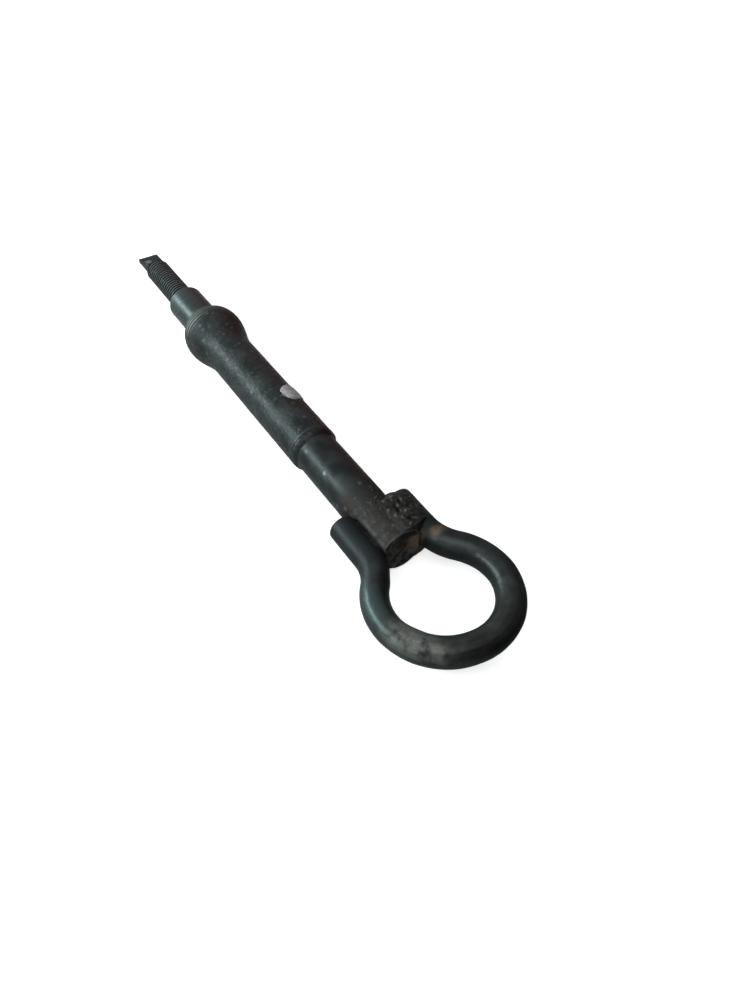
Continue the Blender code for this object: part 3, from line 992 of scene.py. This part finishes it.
    # Knocked-off black; on the tang, a painted highlight.
    worn = f.worn()
    colour = f.tint(colour, KNOCKED_BARE_AND_HIGHLIGHT, worn, 0.9)
    rough = f.lerp(pilot, f.ramp(cloud, 0.3, 0.7, 0.36, 0.48), f.ramp(rings, 0.3, 0.7, 0.30, 0.46))
    rough = f.lerp(f.math("MAXIMUM", face, f.math("MAXIMUM", rear_top, pink)), rough, 0.68)
    rough = f.math("ADD", rough, f.ramp(fine, 0.3, 0.7, -0.04, 0.06))
    f.bump(fine, 0.02)
    f.bump(f.times(f.noise(2.0, 3.0, 0.6), f.math("MAXIMUM", face, rear_top)), 0.4)
    f.bump(f.times(rings, pilot), 0.10)
    return f.done(colour, rough, 0.6)


def sleeve_finish():
    """Turned sleeve: painted highlights on the nose's ring marks, chips all over, a painted brown
    reflection on its right side.
    """
    f = Finish("sleeve_finish")
    cloud = f.noise(9.0, 4.0)
    patch = f.noise(2.6, 4.0, 0.6)
    fine = f.noise(0.6, 3.0, 0.6)
    rings = f.noise(0.6, 2.0, 0.6, (1.0, 40.0, 40.0))
    colour = f.blend(f.ramp(cloud, 0.35, 0.7), SLEEVE_DARK, SLEEVE_PALE)
    colour = f.tint(colour, SLEEVE_WORN, f.ramp(patch, 0.5, 0.72), 0.45)
    upper = f.upper_side()
    # Painted brown reflection on the right side, fading below.
    side = f.times(f.ramp(f.y, 1.5, -6.0), f.ramp(patch, 0.32, 0.56, 0.3, 1.0), upper, 0.9)
    colour = f.tint(colour, PAINTED_BROWN_REFLECTION, side)
    bulb = f.ramp(f.x, 140.0, 149.0)
    warm = f.times(bulb, f.ramp(f.z, 4.0, -2.0), f.ramp(patch, 0.3, 0.6, 0.3, 1.0))
    colour = f.tint(colour, BULB_WARM, warm, 0.8)
    radius = f.length(f.y, f.z)
    # Painted highlights on the crests of the nose's turned rings, strongest on the upper left.
    turned = f.math("SINE", f.times(f.math("SUBTRACT", f.x, radius), math.tau / NOSE_RING_STEP))
    nose = f.times(f.ramp(f.x, NOSE_RINGS_X, NOSE_RINGS_X + 3.0), f.ramp(f.y, 0.0, 8.0, 0.15, 1.0))
    crest = f.times(nose, f.ramp(turned, 0.45, 0.95), f.ramp(f.z, 3.0, 7.0))
    crest = f.times(crest, f.ramp(patch, 0.3, 0.5, 0.3, 0.9))
    olive = f.times(f.ramp(f.x, 153.5, 158.5), f.ramp(f.z, 2.0, 8.0), f.ramp(patch, 0.3, 0.55, 0.4, 1.0))
    colour = f.tint(colour, NOSE_OLIVE, olive, 0.75)
    colour = f.tint(colour, NOSE_RING_HIGHLIGHT, crest)
    # Rear edge: worn bare, with a painted highlight along it.
    edge = f.ramp(f.x, SLEEVE_REAR_X + 0.7, SLEEVE_REAR_X + 0.3)
    colour = f.tint(colour, BARE_EDGE_AND_HIGHLIGHT, edge, f.ramp(patch, 0.35, 0.6, 0.1, 0.6))
    worn = f.worn()
    colour = f.tint(colour, CHALK, worn, 0.6)
    specks = f.spots(1.4, 0.12, 0.3)
    colour = f.tint(colour, CHALK, specks, 0.45)
    rough = f.ramp(cloud, 0.3, 0.7, 0.42, 0.52)
    rough = f.math("ADD", rough, f.times(bulb, 0.12))
    rough = f.math("ADD", rough, f.ramp(patch, 0.3, 0.7, -0.07, 0.09))
    f.bump(fine, 0.03)
    f.bump(rings, 0.025)
    f.bump(f.noise(1.7, 3.0, 0.6), 0.26)
    return f.done(colour, rough, 0.6)


def eye_finish():
    """Bent bar: black and smooth, rubbed grey on the loop, rusty beside the welds, with painted highlight
    and shade on the loop.
    """
    f = Finish("eye_finish")
    cloud = f.noise(8.0, 4.0)
    patch = f.noise(4.5, 4.0, 0.55)
    fine = f.noise(0.6, 3.0, 0.6)
    colour = f.blend(f.ramp(cloud, 0.35, 0.7), BLACK, SLATE)
    grain = f.loop_grain()
    low_left = f.times(f.ramp(f.x, -23.0, -31.0), f.ramp(f.y, 11.0, 20.0), f.ramp(f.z, 1.0, 5.0))
    rubbed = f.times(low_left, f.ramp(patch, 0.32, 0.6), f.ramp(fine, 0.25, 0.55, 0.6, 1.0))
    colour = f.tint(colour, LOOP_RUBBED, rubbed, 0.9)
    # Painted highlight on the loop's left shoulder.
    painted_shoulder_highlight = f.times(f.ramp(f.y, 19.0, 23.5), f.between(f.x, -25.0, -7.0, 3.0), f.ramp(f.z, 2.0, 4.5))
    colour = f.tint(colour, SHOULDER_PAINTED_HIGHLIGHT, painted_shoulder_highlight)
    inner = f.times(f.ramp(f.x, -18.0, -36.0), f.ramp(grain, 0.35, 0.65), f.ramp(f.z, 2.0, 5.0), 0.35)
    colour = f.tint(colour, LOOP_INNER, inner)
    # Painted shade on the loop's far outer side.
    painted_outer_shade = f.times(f.ramp(f.x, -34.0, -46.0), f.ramp(f.z, 6.6, 4.5), f.ramp(f.y, 8.0, -2.0))
    colour = f.tint(colour, OUTER_PAINTED_SHADE, painted_outer_shade)
    by_weld = f.times(f.between(f.x, -4.2, -0.6, 1.4), f.between(f.y, -16.4, -11.0, 1.4))
    by_weld = f.times(by_weld, f.ramp(f.z, 2.6, 5.0))
    colour = f.tint(colour, TAN, by_weld, f.ramp(patch, 0.3, 0.55, 0.5, 1.0))
    rim = f.times(f.between(f.x, -4.5, -1.0, 1.0), f.between(f.y, -18.0, -15.9, 0.9))
    rim = f.times(rim, f.ramp(fine, 0.3, 0.5))
    colour = f.tint(colour, RIM_RUST, rim, 0.7)
    dark_end = f.times(f.between(f.x, 0.0, 6.0, 1.2), f.ramp(f.y, -8.0, -10.0))
    colour = f.tint(colour, LEG_END_DARK, dark_end, 0.9)
    rust = f.times(f.between(f.x, -1.4, 1.5, 0.9), f.between(f.y, -9.6, -6.6, 0.7), f.ramp(fine, 0.3, 0.5))
    colour = f.tint(colour, ORANGE, rust, f.ramp(f.z, 2.6, 1.0), 0.9)
    colour = f.tint(colour, TAN, rust, f.ramp(f.z, 1.0, 2.6), 0.8)
    outer = f.times(f.ramp(f.x, 3.0, 8.0), f.ramp(f.y, -14.4, -15.6), f.ramp(patch, 0.3, 0.55))
    colour = f.tint(colour, LEG_BROWN, outer, 0.7)
    colour = f.tint(colour, CHALK, f.worn(), 0.4)
    legs = f.ramp(f.x, -8.0, 0.0)
    colour = f.tint(colour, LEG_BLACK, legs, f.ramp(f.y, -8.0, 0.0), 0.8)
    rough = f.lerp(legs, f.ramp(cloud, 0.3, 0.7, 0.31, 0.40), 0.5)
    rough = f.lerp(f.math("MAXIMUM", rubbed, inner), rough, 0.52)
    rough = f.math("ADD", rough, f.ramp(fine, 0.3, 0.7, -0.04, 0.06))
    f.bump(fine, 0.02)
    f.bump(f.noise(2.0, 3.0, 0.6), 0.09)
    return f.done(colour, rough, 0.4)


def weld_finish():
    """Weld metal: dark slag and brown rust, rubbed bright on the beads, tan at its rear end, painted shade
    beside the right leg.
    """
    f = Finish("weld_finish")
    cloud = f.noise(5.0, 4.0, 0.55)
    fine = f.noise(0.6, 3.0, 0.6)
    toe = f.times(f.ramp(f.y, -7.5, -2.0), f.ramp(f.x, 15.0, 4.0))
    colour = f.blend(f.ramp(cloud, 0.35, 0.65), SLAG_DARK, SLAG_PALE)
    colour = f.tint(colour, TOE_GREY, toe, 0.7)
    rust = f.times(f.ramp(f.noise(3.0, 4.0, 0.6), 0.48, 0.68), 0.5)
    colour = f.tint(colour, WELD_RUST, rust)
    # Painted shade on the weld's rear end beside the right leg.
    painted_end_shade = f.times(f.ramp(f.x, 5.0, 3.5), f.ramp(f.y, -9.5, -11.5))
    colour = f.tint(colour, WELD_END_PAINTED_SHADE, painted_end_shade)
    rear = f.times(f.ramp(f.x, 2.6, 0.8), f.ramp(f.z, 3.5, 0.5))
    colour = f.tint(colour, TAN, rear, f.ramp(cloud, 0.3, 0.5))
    colour = f.tint(colour, BEAD_BRIGHT, f.worn(), f.ramp(fine, 0.3, 0.55, 0.25, 0.7))
    rough = f.lerp(toe, f.ramp(cloud, 0.3, 0.7, 0.34, 0.5), 0.62)
    rough = f.math("ADD", rough, f.ramp(fine, 0.3, 0.7, -0.05, 0.08))
    f.bump(fine, 0.05)
    f.bump(f.noise(2.0, 3.0, 0.55), 0.45)
    return f.done(colour, rough, 0.6)


def paint_finish():
    """Old pale lilac paint, dirty in its hollows."""
    f = Finish("paint_finish")
    patch = f.noise(2.0, 4.0, 0.6)
    colour = f.blend(f.ramp(patch, 0.42, 0.68), PAINT, PAINT_DIRT)
    f.bump(f.noise(0.7, 3.0, 0.6), 0.06)
    return f.done(colour, f.ramp(patch, 0.3, 0.7, 0.5, 0.65), 0.0)


# ---------------- stage, light and camera

CENTRE = Vector((80.0, 0.0, 0.0)) * MM
FLOOR_AT_ORIGIN = -SHANK_R - 0.15   # the bolt lies on its bulb and on the shank's rear end
FLOOR_SLOPE = (SHANK_R - BULB_R) / BULB_MAX_X


def build_floor():
    """Pale floor that touches the bulb and the shank's rear end."""
    half = 3000.0
    points = []
    for x, y in ((-half, -half), (half, -half), (half, half), (-half, half)):
        points.append(Vector((x, y, FLOOR_AT_ORIGIN + FLOOR_SLOPE * x)) * MM)
    mesh = bpy.data.meshes.new("floor")
    mesh.from_pydata(points, [], [(0, 1, 2, 3)])
    floor = add_object("floor", mesh)
    floor.data.materials.append(floor_finish())


def floor_finish():
    """White to look at; to the object it is a grey bench, darker behind it, so black stays black."""
    material = bpy.data.materials.new("floor_finish")
    material.use_nodes = True
    tree = material.node_tree
    new = tree.nodes.new
    link = tree.links.new
    tree.nodes.remove(tree.nodes["Principled BSDF"])
    seen = new("ShaderNodeLightPath").outputs["Is Camera Ray"]
    pale = new("ShaderNodeBsdfDiffuse")
    pale.inputs["Color"].default_value = (0.85, 0.85, 0.85, 1.0)
    glow = new("ShaderNodeEmission")
    glow.inputs["Color"].default_value = (1.0, 1.0, 1.0, 1.0)
    glow.inputs["Strength"].default_value = 0.70
    both = new("ShaderNodeAddShader")
    grey = new("ShaderNodeBsdfDiffuse")
    across = new("ShaderNodeVectorMath")
    across.operation = "DOT_PRODUCT"
    across.inputs[1].default_value = (0.45, 0.9, 0.0)
    link(new("ShaderNodeTexCoord").outputs["Object"], across.inputs[0])
    shade = new("ShaderNodeMapRange")
    link(across.outputs["Value"], shade.inputs["Value"])
    set_range(shade, -0.06, 0.03, 0.12, 0.55)
    link(shade.outputs["Result"], grey.inputs["Color"])
    mix = new("ShaderNodeMixShader")
    link(pale.outputs[0], both.inputs[0])
    link(glow.outputs[0], both.inputs[1])
    link(seen, mix.inputs["Fac"])
    link(grey.outputs[0], mix.inputs[1])
    link(both.outputs[0], mix.inputs[2])
    link(mix.outputs[0], tree.nodes["Material Output"].inputs["Surface"])
    return material


def build_world():
    """Soft grey surroundings: bright and cool ahead on the left, dim and warm behind."""
    bright_side = (0.62, 0.62, 0.48)
    world = bpy.data.worlds.new("studio")
    bpy.context.scene.world = world
    world.use_nodes = True
    tree = world.node_tree
    new = tree.nodes.new
    link = tree.links.new
    towards = new("ShaderNodeVectorMath")
    towards.operation = "DOT_PRODUCT"
    link(new("ShaderNodeTexCoord").outputs["Generated"], towards.inputs[0])
    towards.inputs[1].default_value = bright_side
    part = new("ShaderNodeMapRange")
    part.interpolation_type = "SMOOTHSTEP"
    link(towards.outputs["Value"], part.inputs["Value"])
    set_range(part, -0.4, 0.9, 0.0, 1.0)
    mix = new("ShaderNodeMix")
    mix.data_type = "RGBA"
    link(part.outputs["Result"], mix.inputs["Factor"])
    mix.inputs[6].default_value = (0.075, 0.062, 0.056, 1.0)
    mix.inputs[7].default_value = (0.44, 0.49, 0.49, 1.0)
    link(mix.outputs[2], tree.nodes["Background"].inputs["Color"])
    tree.nodes["Background"].inputs["Strength"].default_value = 1.0


def add_softbox(name, direction, along, size, distance, power, colour):
    """Rectangular light that faces the object; along is the direction of its long side."""
    back = Vector(direction).normalized()
    side = Vector(along)
    side = (side - side.dot(back) * back).normalized()
    data = bpy.data.lights.new(name, "AREA")
    data.shape = "RECTANGLE"
    data.size, data.size_y = size
    data.energy = power
    data.color = colour
    light = add_object(name, data)
    turn = Matrix((side, back.cross(side), back)).transposed().to_4x4()
    light.matrix_world = Matrix.Translation(CENTRE + back * distance) @ turn


def build_lights():
    add_softbox("key_strip", (0.57, 0.71, 0.42), (1, 0, 0), (1.5, 0.24), 1.3, 16.0, (0.80, 0.98, 1.0))
    add_softbox("top_box", (-0.2, 0.3, 1.0), (1, 0, 0), (1.4, 1.2), 1.6, 9.0, (1.0, 1.0, 1.0))


def build_camera():
    """View from above and behind the eye, towards the tip, fitted to the photo's outline."""
    place = Vector((-148.46, 114.98, 226.18)) * MM
    aim = Vector((26.18, -5.36, 0.0)) * MM
    roll = math.radians(1.668)
    data = bpy.data.cameras.new("camera")
    data.sensor_width = 36.0
    data.lens = 29.264
    data.clip_start = 0.01
    data.clip_end = 20.0
    camera = add_object("camera", data)
    camera.location = place
    camera.rotation_mode = "QUATERNION"
    turn = (aim - place).to_track_quat("-Z", "Y") @ Quaternion((0.0, 0.0, 1.0), roll)
    camera.rotation_quaternion = turn
    bpy.context.scene.camera = camera


def main():
    build_camera()
    build_floor()
    build_world()
    build_lights()
    weld_metal = weld_finish()
    spindle_steel = spindle_finish()
    build_spindle(spindle_steel)
    build_sleeve(sleeve_finish())
    build_sleeve_bead(spindle_steel)
    build_eye(eye_finish())
    for weld in EYE_WELDS:
        build_eye_weld(weld_metal, weld)
    build_spatter(weld_metal)
    build_paint_dab(paint_finish())
    bpy.context.scene.view_settings.view_transform = "Standard"


main()
